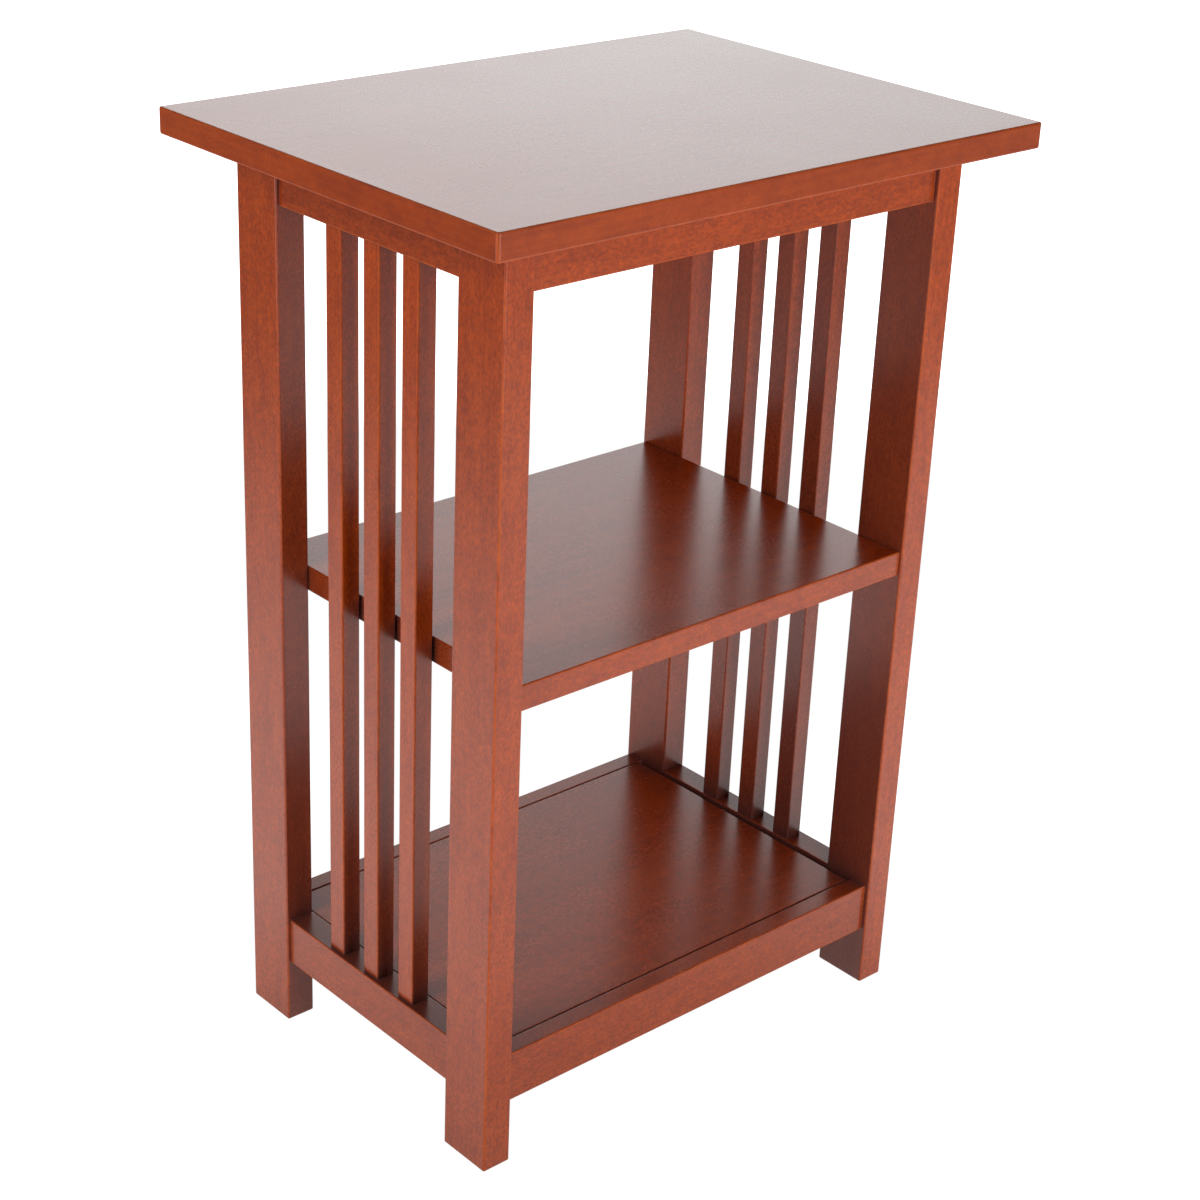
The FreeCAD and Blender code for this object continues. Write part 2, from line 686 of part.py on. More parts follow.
def make_screw_groups():
    screw = make_screw()
    for name, upper_face in (("top", LEG_LENGTH), ("panel", PANEL_UNDER)):
        group(f"{name}_screws", screw, [
            (spot, pointing(0, 0, 1)) for end in HALVES for spot in rising_screw_spots(end, upper_face)
        ])
        group(f"{name}_batten_screws", screw, [
            (spot, pointing(0, end, 0)) for end in HALVES for spot in batten_screw_spots(end, upper_face)
        ])


# The table
make_top()
for side_label, side in SIDES.items():
    for end_label, end in ENDS.items():
        make_leg(f"leg_{end_label}_{side_label}", side, end)
    make_side_member(f"side_apron_{side_label}", side, SIDE_APRON_Z, "side_apron_height", APRON_BOTTOM, 1)
    make_side_member(f"side_rail_{side_label}", side, SIDE_RAIL_Z, "side_rail_height", "side_rail_top", -1)
    for step_label, step in STEPS.items():
        make_slat(f"slat_{side_label}_{step_label}", side, step)
for end_label, end in ENDS.items():
    make_cross_member(f"apron_{end_label}", end, CROSS_APRON_Z, "front_apron_height", LEG_LENGTH)
    make_cross_member(f"rail_{end_label}", end, CROSS_RAIL_Z, "front_rail_height", PANEL_UNDER)
    make_batten(f"top_batten_{end_label}", end, LEG_LENGTH)
    make_batten(f"panel_batten_{end_label}", end, PANEL_UNDER)
make_shelf()
make_panel()
make_dowel_groups()
make_cam_groups()
make_screw_groups()
doc.recompute()

for item in doc.Objects:
    if {"Invalid", "Error"} & set(item.State):
        raise RuntimeError(f"{item.Label} failed: {item.State}")
for node in nodes:
    if node.Shape.isNull() or not node.Shape.isValid():
        raise RuntimeError(f"{node.Label} has no valid shape")

os.makedirs("parts", exist_ok=True)
for node in nodes:
    node.Shape.exportStep(f"parts/{node.Label}.step")
print(f"{len(nodes)} sub-parts written")
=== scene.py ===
import math
from collections import namedtuple

import bpy
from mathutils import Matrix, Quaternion, Vector


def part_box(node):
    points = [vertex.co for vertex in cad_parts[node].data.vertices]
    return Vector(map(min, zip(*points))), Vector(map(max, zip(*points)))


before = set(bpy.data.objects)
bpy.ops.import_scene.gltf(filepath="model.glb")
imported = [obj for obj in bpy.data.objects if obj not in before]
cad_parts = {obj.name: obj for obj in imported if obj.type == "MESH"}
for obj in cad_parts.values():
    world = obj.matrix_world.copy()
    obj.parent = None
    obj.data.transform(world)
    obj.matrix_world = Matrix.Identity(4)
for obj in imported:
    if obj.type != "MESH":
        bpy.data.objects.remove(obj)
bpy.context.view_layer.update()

# Lengths are metres, colours are linear, and a pair named range says where a ramp starts and where it ends.
# In wood, a size of three lengths runs across, across and along the grain.

# Noise with rough edges and with softer ones
ROUGH_NOISE = {"detail": 3.0, "roughness": 0.6}
SOFT_NOISE = {"detail": 2.0, "roughness": 0.6}
# Nearly all noise lies in this range
NOISE_RANGE = (0.3, 0.7)
# The mix node's sockets for colours: share, first and second, and the result
MIX_INPUTS = (0, 6, 7)
MIX_RESULT = 2


class Tree:
    """Adds nodes to a node tree; an input takes a value or another node's output."""

    def __init__(self, tree):
        self.tree = tree

    def add(self, kind, inputs=None, **settings):
        node = self.tree.nodes.new(kind)
        for name, value in settings.items():
            setattr(node, name, value)
        for key, value in (inputs or {}).items():
            self.feed(node.inputs[key], value)
        return node

    def feed(self, socket, value):
        if isinstance(value, bpy.types.NodeSocket):
            self.tree.links.new(value, socket)
        else:
            socket.default_value = value

    def place(self):
        """The shaded point, in the frame's metres."""
        return self.add("ShaderNodeTexCoord").outputs["Object"]

    def math(self, operation, *values, clamp=False):
        node = self.add("ShaderNodeMath", dict(enumerate(values)), operation=operation, use_clamp=clamp)
        return node.outputs[0]

    def total(self, *values, clamp=False):
        """The sum of two or more values."""
        result = values[0]
        for value in values[1:-1]:
            result = self.math("ADD", result, value)
        return self.math("ADD", result, values[-1], clamp=clamp)

    def product(self, *values):
        """The product of two or more values."""
        result = values[0]
        for value in values[1:]:
            result = self.math("MULTIPLY", result, value)
        return result

    def vector(self, operation, *values, output=0):
        node = self.add("ShaderNodeVectorMath", dict(enumerate(values)), operation=operation)
        return node.outputs[output]

    def dot(self, first, second):
        return self.vector("DOT_PRODUCT", first, second, output="Value")

    def length(self, value):
        return self.vector("LENGTH", value, output="Value")

    def split(self, value):
        return self.add("ShaderNodeSeparateXYZ", {0: value}).outputs

    def joined(self, *values):
        return self.add("ShaderNodeCombineXYZ", dict(enumerate(values))).outputs[0]

    def noise(self, place, size, detail=2.0, roughness=0.5):
        """Noise from 0 to 1 whose features have the given size along each axis."""
        scale = tuple(1.0 / length for length in size)
        stretched = self.add("ShaderNodeMapping", {"Vector": place, "Scale": scale}).outputs[0]
        values = {"Vector": stretched, "Scale": 1.0, "Detail": detail, "Roughness": roughness}
        return self.add("ShaderNodeTexNoise", values).outputs["Fac"]

    def ramp(self, value, low, high, start=0.0, end=1.0, smooth=True):
        kind = "SMOOTHSTEP" if smooth else "LINEAR"
        values = {"Value": value, "From Min": low, "From Max": high, "To Min": start, "To Max": end}
        return self.add("ShaderNodeMapRange", values, interpolation_type=kind).outputs["Result"]

    def swing(self, noise, amount):
        """Noise spread evenly about zero, mostly within the amount."""
        return self.ramp(noise, *NOISE_RANGE, -amount, amount, smooth=False)

    def mix(self, share, first, second, blend="MIX"):
        node = self.add("ShaderNodeMix", data_type="RGBA", blend_type=blend)
        for key, value in zip(MIX_INPUTS, (share, first, second)):
            self.feed(node.inputs[key], value)
        return node.outputs[MIX_RESULT]

    def shaded(self, colour, shade):
        """A colour made lighter or darker by a value near 1."""
        grey = self.add("ShaderNodeCombineColor", {0: shade, 1: shade, 2: shade}).outputs[0]
        return self.mix(1.0, colour, grey, "MULTIPLY")

    def bump(self, height, strength, distance):
        values = {"Strength": strength, "Distance": distance, "Height": height}
        return self.add("ShaderNodeBump", values).outputs[0]

    def shown(self, brightness):
        """A brightness that is at least 1 where the camera looks straight at it."""
        seen = self.add("ShaderNodeLightPath").outputs["Is Camera Ray"]
        return self.math("MAXIMUM", brightness, seen)


def empty_tree(owner):
    """The tree of a material or a world, with no nodes yet."""
    owner.use_nodes = True
    owner.node_tree.nodes.clear()
    return Tree(owner.node_tree)


def new_object(name, data):
    """A new object in the scene."""
    added = bpy.data.objects.new(name, data)
    bpy.context.scene.collection.objects.link(added)
    return added


def new_material(name):
    """A new material, its tree, and a shader that is still plain."""
    material = bpy.data.materials.new(name)
    tree = empty_tree(material)
    shader = tree.add("ShaderNodeBsdfPrincipled")
    tree.add("ShaderNodeOutputMaterial", {0: shader.outputs[0]})
    return material, tree, shader


# Figure that all the wood shares
FIBRE_SIZE = (0.00125, 0.00125, 0.050)
DRIFT_SIZE = (0.11, 0.11, 0.77)
# Shares of a growth ring at which its late wood is full, and starts to end
LATE_FULL_SHARE = 0.75
LATE_END_SHARE = 0.85
# End grain: the depth over which its darkness fades, and how dark it is at the end
END_RANGE = (0.00005, 0.0003)
END_DARK = 0.35
# How a seed shifts the figure along each axis, and the span within which the shift stays
SHIFT_STEPS = (0.37, 0.71, 2.3)
SHIFT_SPANS = (1.0, 1.0, 3.0)

# How a piece was cut: the corners of its box, the axis along its grain, and the seed of its figure
Cut = namedtuple("Cut", "low high axis seed")


def grain_place(tree, cut):
    """A point from a piece's middle, Z along the grain; half the piece; the point shifted by its seed."""
    middle = (cut.low + cut.high) / 2
    half = (cut.high - cut.low) / 2
    order = {"X": (1, 2, 0), "Y": (0, 2, 1), "Z": (0, 1, 2)}[cut.axis]
    parts = tree.split(tree.vector("SUBTRACT", tree.place(), tuple(middle)))
    turned = tree.joined(*(parts[index] for index in order))
    shift = tuple(step * cut.seed % span for step, span in zip(SHIFT_STEPS, SHIFT_SPANS))
    return turned, tuple(half[index] for index in order), tree.vector("ADD", turned, shift)


def edge_distance(tree, place, half):
    """How far a point on a box's surface is from the nearest arris, and from the nearest end."""
    inside = tree.vector("SUBTRACT", half, tree.vector("ABSOLUTE", place))
    x, y, z = tree.split(inside)
    lesser = tree.math("MINIMUM", x, y)
    greater = tree.math("MAXIMUM", x, y)
    return tree.math("MINIMUM", greater, tree.math("MAXIMUM", lesser, z)), z


def wood_rings(tree, place, heart, spacing, waviness):
    """Growth rings about a heart line that lies off the piece, as a value from 0 to 1."""
    drift = tree.noise(place, DRIFT_SIZE)
    parts = tree.split(tree.vector("ADD", place, tuple(heart)))
    radius = tree.length(tree.joined(parts[0], parts[1]))
    radius = tree.total(radius, tree.product(drift, waviness))
    turns = tree.math("FRACT", tree.math("DIVIDE", radius, spacing))
    late = tree.ramp(turns, 0.0, LATE_FULL_SHARE)
    return tree.math("SUBTRACT", late, tree.ramp(turns, LATE_END_SHARE, 1.0))


# Stained cherry
CHERRY_ORANGE = (0.365, 0.049, 0.000, 1.0)
CHERRY_RED = (0.250, 0.028, 0.000, 1.0)
# Colour of rubbed arrises: worn stain and a painted highlight
CHERRY_RUBBED_HIGHLIGHT = (0.600, 0.115, 0.008, 1.0)
CHERRY_PORE = (0.085, 0.014, 0.006, 1.0)
# Colour of the painted shade in corners, round the bottom shelf and on inner sides
CHERRY_PAINTED_SHADE = (0.090, 0.030, 0.026, 1.0)
CHERRY_RING = 0.0046
CHERRY_WAVE = 0.02
CHERRY_HEART = Vector((0.05, 0.09, 0.0))
CHERRY_HEART_SPREAD = Vector((0.03, 0.0, 0.0))
PORE_SIZE = (0.0004, 0.0004, 0.006)
PORE_RANGE = (0.60, 0.72)
PORE_DARK = 0.22
FLECK_SIZE = (0.0018, 0.0018, 0.0030)
FLECK_DETAIL = 1.0
MOTTLE_SIZE = (0.007, 0.007, 0.011)
STREAK_SIZE = (0.014, 0.014, 0.070)
CLOUD_SIZE = (0.11, 0.11, 0.11)
# How far each part of the figure swings the stain from its middle, or the shade
STAIN_MIDDLE = 0.5
MOTTLE_SWING = 0.28
STREAK_SWING = 0.22
CLOUD_SWING = 0.12
RING_SWING = 0.08
FIBRE_SWING = 0.05
FLECK_SWING = 0.22
TOP_FLECK_SWING = 0.06
# Satin lacquer: its index and roughness, and how much duller it is on the figure and on outer arrises
LACQUER_IOR = 1.5
SATIN = 0.27
FLECK_DULL = 0.003
CLOUD_DULL = 0.008
PORE_DULL = 0.012
ARRIS_DULL = 0.70
# Its relief: the flecks are full height, and the rest are shares of them
FIBRE_HEIGHT_SHARE = 0.2
PORE_HEIGHT_SHARE = -0.3
LACQUER_BUMP = 0.010
LACQUER_RELIEF = 0.00006

# Arrises: their width, and the open shares between which the outer ones wear and get a painted highlight
ARRIS_RANGE = (0.0003, 0.0014)
WORN_HIGHLIGHT_OPEN_RANGE = (0.45, 0.75)
# A board's outer half: a point's offset from its middle times that middle's own offset, in square metres
OUTER_RANGE = (0.0002, 0.0004)
# Patches of a worn arris from which stain is rubbed off, lighter in part as a painted highlight, and how
# much of it
RUBBED_HIGHLIGHT_SIZE = (0.030, 0.030, 0.030)
RUBBED_HIGHLIGHT_RANGE = (0.30, 0.62)
RUBBED_HIGHLIGHT_MOST = 0.45

# Painted shade, darkest where a point isn't open: how far round the point that is judged, and with how many
# rays, the open shares where the painted shade starts and is full, and the most of it
CORNER_REACH = 0.10
CORNER_RAYS = 8
CORNER_OPEN_RANGE = (0.62, 0.28)
BAY_OPEN_RANGE = (0.92, 0.45)
PAINTED_SHADE_MOST = 0.95
# Heights that bound the painted shade: the feet, which get none, and the bay between the bottom shelf and
# the middle one
FOOT_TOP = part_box("rail_front")[0].z
FOOT_FADE = 0.02
BAY_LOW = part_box("rail_front")[1].z
BAY_RIM = 0.004
BAY_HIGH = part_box("shelf_board")[0].z
BAY_MIDDLE = (BAY_LOW + BAY_HIGH) / 2
# Painted shade on inner sides and ledges: how far they face inwards, how ledges count, and the gain in the
# bay
INNER_RANGE = (0.06, 0.12)
LEDGE_FACING = 0.15
BAY_INNER = 1.5


def outer_arris(tree, arris, middle):
    """Share of an arris on the half of a board that faces outwards."""
    offset = tree.vector("SUBTRACT", tree.place(), tuple(middle))
    outer = tree.ramp(tree.dot(offset, (middle.x, middle.y, 0.0)), *OUTER_RANGE)
    return tree.product(outer, tree.ramp(arris, *ARRIS_RANGE, 1.0, 0.0))


def painted_shade_share(tree, open_share, middle, inner_shade):
    """Share of painted shade: in corners above the feet, wider round the bottom shelf, and on inner sides
    and ledges.
    """
    height = tree.split(tree.place())[2]
    above_feet = tree.ramp(height, FOOT_TOP - FOOT_FADE, FOOT_TOP)
    corner = tree.product(tree.ramp(open_share, *CORNER_OPEN_RANGE, 0.0, PAINTED_SHADE_MOST), above_feet)
    above_rim = tree.ramp(height, BAY_LOW - BAY_RIM, BAY_LOW)
    below_shelf = tree.ramp(height, BAY_HIGH, BAY_MIDDLE)
    bay = tree.product(above_rim, below_shelf, tree.ramp(open_share, *BAY_OPEN_RANGE, 0.0, PAINTED_SHADE_MOST))
    normal = tree.add("ShaderNodeNewGeometry").outputs["Normal"]
    facing = tree.dot(normal, (-middle.x, -middle.y, LEDGE_FACING))
    gain = tree.ramp(height, BAY_HIGH, BAY_MIDDLE, 1.0, BAY_INNER)
    inner = tree.product(tree.ramp(facing, *INNER_RANGE, 0.0, inner_shade), gain)
    return tree.math("MAXIMUM", tree.math("MAXIMUM", corner, bay), inner)


def cherry(name, cut, tone, fleck_swing, inner_shade):
    """Stained cherry under satin lacquer: mottled stain, fine figure, rubbed arrises that also carry a
    painted highlight, and painted shade in corners and on inner sides.
    """
    material, tree, shader = new_material(name)
    middle = (cut.low + cut.high) / 2
    place, half, shifted = grain_place(tree, cut)
    heart = CHERRY_HEART + CHERRY_HEART_SPREAD * (cut.seed % 1.0)
    rings = wood_rings(tree, place, heart, CHERRY_RING, CHERRY_WAVE)
    fibres = tree.noise(shifted, FIBRE_SIZE, **ROUGH_NOISE)
    pores = tree.ramp(tree.noise(shifted, PORE_SIZE), *PORE_RANGE)
    flecks = tree.noise(shifted, FLECK_SIZE, FLECK_DETAIL)
    clouds = tree.noise(shifted, CLOUD_SIZE)

    mottle = tree.swing(tree.noise(shifted, MOTTLE_SIZE, **SOFT_NOISE), MOTTLE_SWING)
    streaks = tree.swing(tree.noise(shifted, STREAK_SIZE, **SOFT_NOISE), STREAK_SWING)
    growth = tree.ramp(rings, 0.0, 1.0, RING_SWING, -RING_SWING, smooth=False)
    stain = tree.total(STAIN_MIDDLE, mottle, streaks, growth, tree.swing(clouds, CLOUD_SWING), clamp=True)
    colour = tree.mix(stain, CHERRY_RED, CHERRY_ORANGE)
    shade = tree.total(tone, tree.swing(fibres, FIBRE_SWING), tree.swing(flecks, fleck_swing))
    colour = tree.shaded(colour, shade)
    colour = tree.mix(tree.product(pores, PORE_DARK), colour, CHERRY_PORE)

    openness = tree.add("ShaderNodeAmbientOcclusion", {"Distance": CORNER_REACH}, samples=CORNER_RAYS)
    open_share = openness.outputs["AO"]
    arris, end = edge_distance(tree, place, half)
    outer = outer_arris(tree, arris, middle)
    # Rubbed arrises: worn stain, lighter also as a painted highlight, on open outer arrises
    worn_highlit = tree.product(outer, tree.ramp(open_share, *WORN_HIGHLIGHT_OPEN_RANGE))
    rubbed_highlight = tree.ramp(tree.noise(shifted, RUBBED_HIGHLIGHT_SIZE, **ROUGH_NOISE), *RUBBED_HIGHLIGHT_RANGE, 0.0, RUBBED_HIGHLIGHT_MOST)
    colour = tree.mix(tree.product(worn_highlit, rubbed_highlight), colour, CHERRY_RUBBED_HIGHLIGHT)
    colour = tree.mix(tree.ramp(end, *END_RANGE, END_DARK, 0.0), colour, CHERRY_PORE)
    # Painted shade: the colour darkened in corners, round the bottom shelf and on inner sides and ledges
    colour = tree.mix(painted_shade_share(tree, open_share, middle, inner_shade), colour, CHERRY_PAINTED_SHADE)

    gloss = tree.total(SATIN, tree.swing(flecks, FLECK_DULL), tree.swing(clouds, CLOUD_DULL))
    gloss = tree.total(gloss, tree.product(pores, PORE_DULL), tree.product(outer, ARRIS_DULL))
    fibre_height = tree.product(fibres, FIBRE_HEIGHT_SHARE)
    height = tree.total(flecks, fibre_height, tree.product(pores, PORE_HEIGHT_SHARE))
    tree.feed(shader.inputs["Base Color"], colour)
    tree.feed(shader.inputs["Roughness"], gloss)
    tree.feed(shader.inputs["Normal"], tree.bump(height, LACQUER_BUMP, LACQUER_RELIEF))
    shader.inputs["IOR"].default_value = LACQUER_IOR
    return material


# Bare wood: each kind's early and late wood, and the width of its rings
Timber = namedtuple("Timber", "early late ring")
SOFTWOOD = Timber((0.56, 0.38, 0.20, 1.0), (0.40, 0.22, 0.10, 1.0), 0.0042)
BEECH = Timber((0.55, 0.38, 0.23, 1.0), (0.44, 0.28, 0.15, 1.0), 0.0020)
BARE_WAVE = 0.012
BARE_HEART = Vector((0.02, 0.05, 0.0))
BARE_HEART_SPREAD = Vector((0.0, 0.02, 0.0))
BARE_RING_DARK = 0.75
BARE_TONE = 0.97
BARE_FIBRE_SWING = 0.13
BLOTCH_SIZE = (0.025, 0.025, 0.083)
BLOTCH_SWING = 0.10
# Arrises darkened by handling: their width, and how dark
HANDLED_RANGE = (0.0002, 0.0018)
HANDLED_DARK = 0.30
# Sawn surface: its marks, its relief, and its roughness
SAW_SIZE = (0.011, 0.011, 0.0014)
SAW_HEIGHT_SHARE = 0.6
SAWN_BUMP = 0.35
SAWN_RELIEF = 0.0002
SAWN_ROUGHNESS = 0.66
SAWN_SWING = 0.08


def bare_wood(name, cut, timber):
    """Unfinished wood: clear rings, coarse fibres and sawn roughness."""
    material, tree, shader = new_material(name)
    place, half, shifted = grain_place(tree, cut)
    heart = BARE_HEART + BARE_HEART_SPREAD * (cut.seed % 1.0)
    rings = wood_rings(tree, place, heart, timber.ring, BARE_WAVE)
    fibres = tree.noise(shifted, FIBRE_SIZE, **ROUGH_NOISE)
    blotches = tree.noise(shifted, BLOTCH_SIZE, **ROUGH_NOISE)
    colour = tree.mix(tree.product(rings, BARE_RING_DARK), timber.early, timber.late)
    shade = tree.total(BARE_TONE, tree.swing(fibres, BARE_FIBRE_SWING), tree.swing(blotches, BLOTCH_SWING))
    colour = tree.shaded(colour, shade)
    arris, end = edge_distance(tree, place, half)
    colour = tree.mix(tree.ramp(arris, *HANDLED_RANGE, HANDLED_DARK, 0.0), colour, timber.late)
    colour = tree.mix(tree.ramp(end, *END_RANGE, END_DARK, 0.0), colour, timber.late)
    saw = tree.noise(shifted, SAW_SIZE)
    height = tree.total(fibres, tree.product(saw, SAW_HEIGHT_SHARE))
    tree.feed(shader.inputs["Base Color"], colour)
    tree.feed(shader.inputs["Roughness"], tree.total(tree.swing(fibres, SAWN_SWING), SAWN_ROUGHNESS))
    tree.feed(shader.inputs["Normal"], tree.bump(height, SAWN_BUMP, SAWN_RELIEF))
    return material


# Plated steel: colours and roughness where its bloom is dull and where it is bright
ZINC_DULL = (0.44, 0.44, 0.42, 1.0)
ZINC_BRIGHT = (0.66, 0.65, 0.60, 1.0)
DULL_ROUGHNESS = 0.46
BRIGHT_ROUGHNESS = 0.30
BLOOM_SIZE = (0.0024, 0.0024, 0.0024)
BLOOM_DETAIL = 4.0
BLOOM_ROUGHNESS = 0.6
# Its fine scratches
SCRATCH_SIZE = (0.0033, 0.00017, 0.0004)
SCRATCH_RANGE = (0.5, 0.7)
SCRATCH_DULL = 0.12
SCRATCH_BUMP = 0.2
SCRATCH_RELIEF = 0.00005


def plated_steel(name):
    """Dull zinc plating with a mottled bloom, fine scratches and darkened patches."""
    material, tree, shader = new_material(name)
    place = tree.place()
    bloom = tree.noise(place, BLOOM_SIZE, BLOOM_DETAIL, BLOOM_ROUGHNESS)
    scratches = tree.noise(place, SCRATCH_SIZE)
    colour = tree.mix(tree.ramp(bloom, *NOISE_RANGE), ZINC_DULL, ZINC_BRIGHT)
    gloss = tree.ramp(bloom, *NOISE_RANGE, DULL_ROUGHNESS, BRIGHT_ROUGHNESS, smooth=False)
    gloss = tree.total(gloss, tree.ramp(scratches, *SCRATCH_RANGE, 0.0, SCRATCH_DULL))
    tree.feed(shader.inputs["Base Color"], colour)
    tree.feed(shader.inputs["Roughness"], gloss)
    tree.feed(shader.inputs["Normal"], tree.bump(scratches, SCRATCH_BUMP, SCRATCH_RELIEF))
    shader.inputs["Metallic"].default_value = 1.0
    return material


# Boards made lighter or darker than the rest: the wood's own tone and painted light and shade for how lit
# each board is
PAINTED_LIGHT_TONES = {
    "leg_front_right": 1.16,
    "leg_back_right": 1.23,
    "leg_front_left": 1.06,
    "leg_back_left": 1.06,
    "slat_left_front": 1.17,
    "slat_left_middle": 1.08,
    "slat_left_back": 1.09,
    "slat_right_front": 1.07,
    "slat_right_middle": 1.09,
    "slat_right_back": 1.07,
    "shelf_lipping_front": 1.06,
    "apron_front": 1.02,
    "side_apron_left": 0.98,
}
PLAIN_TONE = 1.0
# Boards whose inner sides and ledges get more painted shade
INNER_PAINTED_SHADE = {
    "side_rail_left": 0.50,
    "leg_front_right": 0.47,
    "leg_back_left": 0.37,
    "leg_back_right": 0.12,
    "slat_right_front": 0.46,
    "slat_right_middle": 0.32,
    "slat_right_back": 0.20,
}
# Seed of the first piece's figure, and the step from each piece to the next
FIRST_SEED = 1.0
SEED_STEP = 0.618


def grain_axis(node):
    """The axis that a node's grain runs along."""
    if node.startswith(("leg_", "slat_")):
        return "Z"
    if node.startswith(("side_", "top_lipping_left", "top_lipping_right")):
        return "Y"
    return "X"


def board(node, cut):
    """A stained board's own material."""
    # A board's tone, partly painted light and shade
    tone = PAINTED_LIGHT_TONES.get(node, PLAIN_TONE)
    fleck_swing = TOP_FLECK_SWING if node.startswith("top_") else FLECK_SWING
    return cherry(f"cherry_{node}", cut, tone, fleck_swing, INNER_PAINTED_SHADE.get(node, 0.0))


def dress_nodes():
    """Gives every CAD node its own cut of wood, or the plating."""
    plating = plated_steel("plated_steel")
    for index, node in enumerate(sorted(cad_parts)):
        low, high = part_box(node)
        cut = Cut(low, high, grain_axis(node), FIRST_SEED + SEED_STEP * index)
        if node.endswith("_screws") or node in ("cam_studs", "cam_locks"):
            material = plating
        elif "batten" in node:
            material = bare_wood(f"softwood_{node}", cut, SOFTWOOD)
        elif node.endswith("_dowels"):
            material = bare_wood(f"beech_{node}", cut, BEECH)
        else:
            material = board(node, cut)
        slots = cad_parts[node].data.materials
        slots.clear()
        slots.append(material)


# Camera: place, the point it looks at, roll in degrees, and focal length as a share of the frame
CAMERA_PLACE = Vector((-1.0932, -1.2038, 1.0849))
CAMERA_TARGET = Vector((0.0068, -0.0055, 0.3345))
CAMERA_ROLL = 2.516
FOCAL_SHARE = 2.0299
SENSOR_MM = 36.0
# Directions over the floor: towards the camera, and to the right as it sees the table
NEARER = Vector((CAMERA_PLACE.x, CAMERA_PLACE.y, 0.0)).normalized()
RIGHT = Vector((-NEARER.y, NEARER.x, 0.0))

# Colour of the studio's walls and their glows
STUDIO_PALE = (0.8, 0.8, 0.8, 1.0)
# Soft glows of the studio walls: degrees from +X towards +Y, degrees above the floor, sharpness and strength
Glow = namedtuple("Glow", "azimuth elevation sharpness strength")
GLOWS = {
    "behind": Glow(47.5, 8.0, 12.0, 2.87),
    "left": Glow(137.5, 8.0, 12.0, 0.52),
    "behind_right": Glow(33.0, 22.0, 40.0, 0.67),
    "behind_left": Glow(62.0, 22.0, 40.0, 0.95),
}
# Soft boxes, by the side of the table that they light: place, width, and power in watts
Box = namedtuple("Box", "place width power")
BOXES = {
    "slat_side_high": Box(Vector((-1.35, -0.06, 1.50)), 0.7, 8.6),
    "slat_side_low": Box(Vector((-1.35, 0.05, 0.45)), 0.7, 4.1),
    "open_side_high": Box(Vector((-0.26, -1.33, 0.90)), 0.7, 5.5),
    "open_side_low": Box(Vector((-0.12, -1.34, 0.45)), 0.7, 4.0),
    "open_side_far": Box(Vector((0.28, -2.18, 0.75)), 0.8, 5.3),
}
BOX_TARGET = Vector((0.0, 0.0, 0.4))

# Floor: its half width, and its brightness under the table and on each side, in a ring and further out.
# RING_RANGE says how far out the ring starts and is full; each side says where it fades and is gone.
FLOOR_HALF = 12.0
FLOOR_UNDER = 0.64
RING_RANGE = (0.20, 0.40)
Side = namedtuple("Side", "ring far fades gone")
FLOOR_SIDES = {
    "right": Side(ring=1.36, far=0.48, fades=1.48, gone=1.92),
    "left": Side(ring=1.31, far=0.24, fades=0.82, gone=1.75),
    "front": Side(ring=0.90, far=0.90, fades=1.1, gone=1.4),
    "behind": Side(ring=0.10, far=2.10, fades=1.1, gone=1.4),
}
# How far to the side, and to the front, a direction points where one side's floor gives way to the next
SIDE_RANGE = (0.2, 0.6)
FRONT_RANGE = (-0.3, 0.3)


def bearing(azimuth, elevation):
    """A direction by degrees from +X towards +Y, and above the floor."""
    turn = math.radians(azimuth)
    rise = math.radians(elevation)
    return (math.cos(turn) * math.cos(rise), math.sin(turn) * math.cos(rise), math.sin(rise))


def make_camera():
    """A camera at the photograph's viewing angle."""
    camera = new_object("camera", bpy.data.cameras.new("camera"))
    camera.data.sensor_width = SENSOR_MM
    camera.data.lens = FOCAL_SHARE * SENSOR_MM
    camera.location = CAMERA_PLACE
    camera.rotation_mode = "QUATERNION"
    roll = Quaternion((0.0, 0.0, 1.0), math.radians(CAMERA_ROLL))
    camera.rotation_quaternion = (CAMERA_TARGET - CAMERA_PLACE).to_track_quat("-Z", "Y") @ roll
    bpy.context.scene.camera = camera


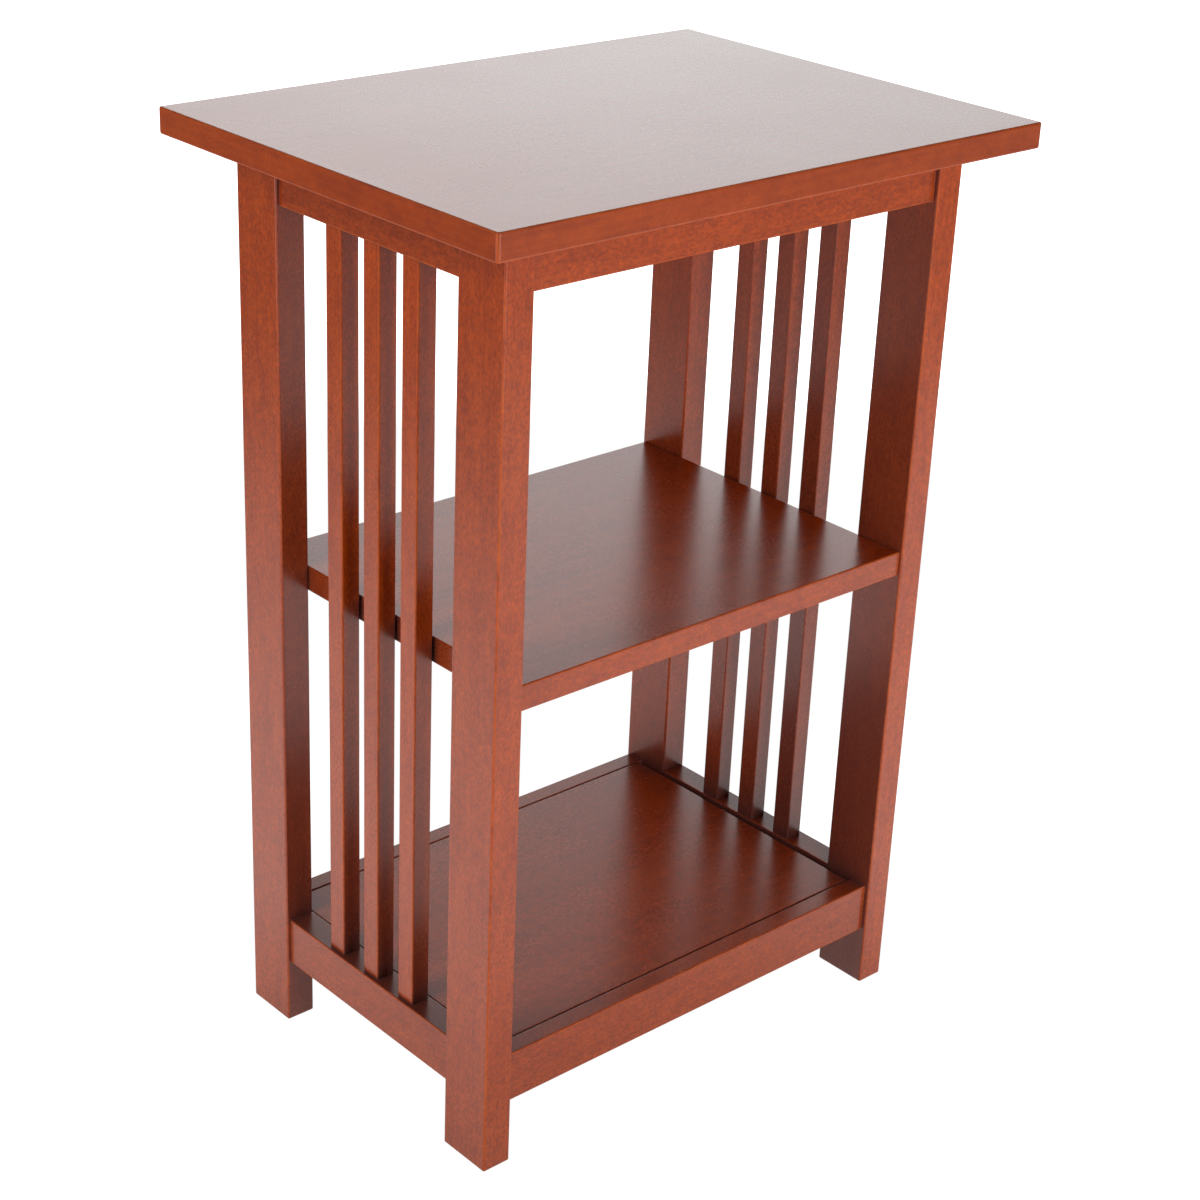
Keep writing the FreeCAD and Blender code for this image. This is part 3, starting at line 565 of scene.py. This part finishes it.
def make_world():
    """Glows round the studio; the backdrop itself looks pale."""
    world = bpy.data.worlds.new("studio")
    bpy.context.scene.world = world
    tree = empty_tree(world)
    look = tree.vector("NORMALIZE", tree.add("ShaderNodeTexCoord").outputs["Generated"])
    brightness = 0.0
    for glow in GLOWS.values():
        facing = tree.math("MAXIMUM", tree.dot(look, bearing(glow.azimuth, glow.elevation)), 0.0)
        lobe = tree.math("POWER", facing, glow.sharpness)
        brightness = tree.total(brightness, tree.product(lobe, glow.strength))
    light = tree.add("ShaderNodeBackground", {"Color": STUDIO_PALE, "Strength": tree.shown(brightness)})
    tree.add("ShaderNodeOutputWorld", {0: light.outputs[0]})


def floor_brightness(tree):
    """The floor's brightness under the table, in a ring round it, and further out on each side."""
    place = tree.place()
    away = tree.length(place)
    facing = tree.vector("NORMALIZE", place)
    across = tree.dot(facing, tuple(RIGHT))
    along = tree.dot(facing, tuple(NEARER))
    right = tree.ramp(across, *SIDE_RANGE)
    left = tree.ramp(tree.product(across, -1.0), *SIDE_RANGE)
    rest = tree.math("SUBTRACT", tree.math("SUBTRACT", 1.0, right), left)
    front = tree.product(rest, tree.ramp(along, *FRONT_RANGE))
    behind = tree.math("SUBTRACT", rest, front)
    brightness = FLOOR_UNDER
    for name, share in (("right", right), ("left", left), ("front", front), ("behind", behind)):
        side = FLOOR_SIDES[name]
        inner = tree.ramp(away, *RING_RANGE, 0.0, side.ring - FLOOR_UNDER, smooth=False)
        outer = tree.ramp(away, side.fades, side.gone, 0.0, side.far - side.ring, smooth=False)
        brightness = tree.total(brightness, tree.product(share, tree.total(inner, outer)))
    return brightness


def make_floor():
    """A floor that looks white, and lights the table by its own brightness."""
    mesh = bpy.data.meshes.new("floor")
    half = FLOOR_HALF
    corners = [(-half, -half, 0), (half, -half, 0), (half, half, 0), (-half, half, 0)]
    mesh.from_pydata(corners, [], [(0, 1, 2, 3)])
    floor = new_object("floor", mesh)
    material = bpy.data.materials.new("floor")
    tree = empty_tree(material)
    light = tree.add("ShaderNodeEmission", {"Strength": tree.shown(floor_brightness(tree))})
    tree.add("ShaderNodeOutputMaterial", {0: light.outputs[0]})
    mesh.materials.append(material)


def make_boxes():
    """Round soft boxes that face the table."""
    for name, box in BOXES.items():
        light = bpy.data.lights.new(f"soft_box_{name}", "AREA")
        light.shape = "DISK"
        light.size = box.width
        light.energy = box.power
        lamp = new_object(light.name, light)
        lamp.location = box.place
        lamp.rotation_euler = (BOX_TARGET - box.place).to_track_quat("-Z", "Y").to_euler()


make_camera()
make_world()
make_floor()
make_boxes()
dress_nodes()
bpy.context.scene.view_settings.view_transform = "Standard"
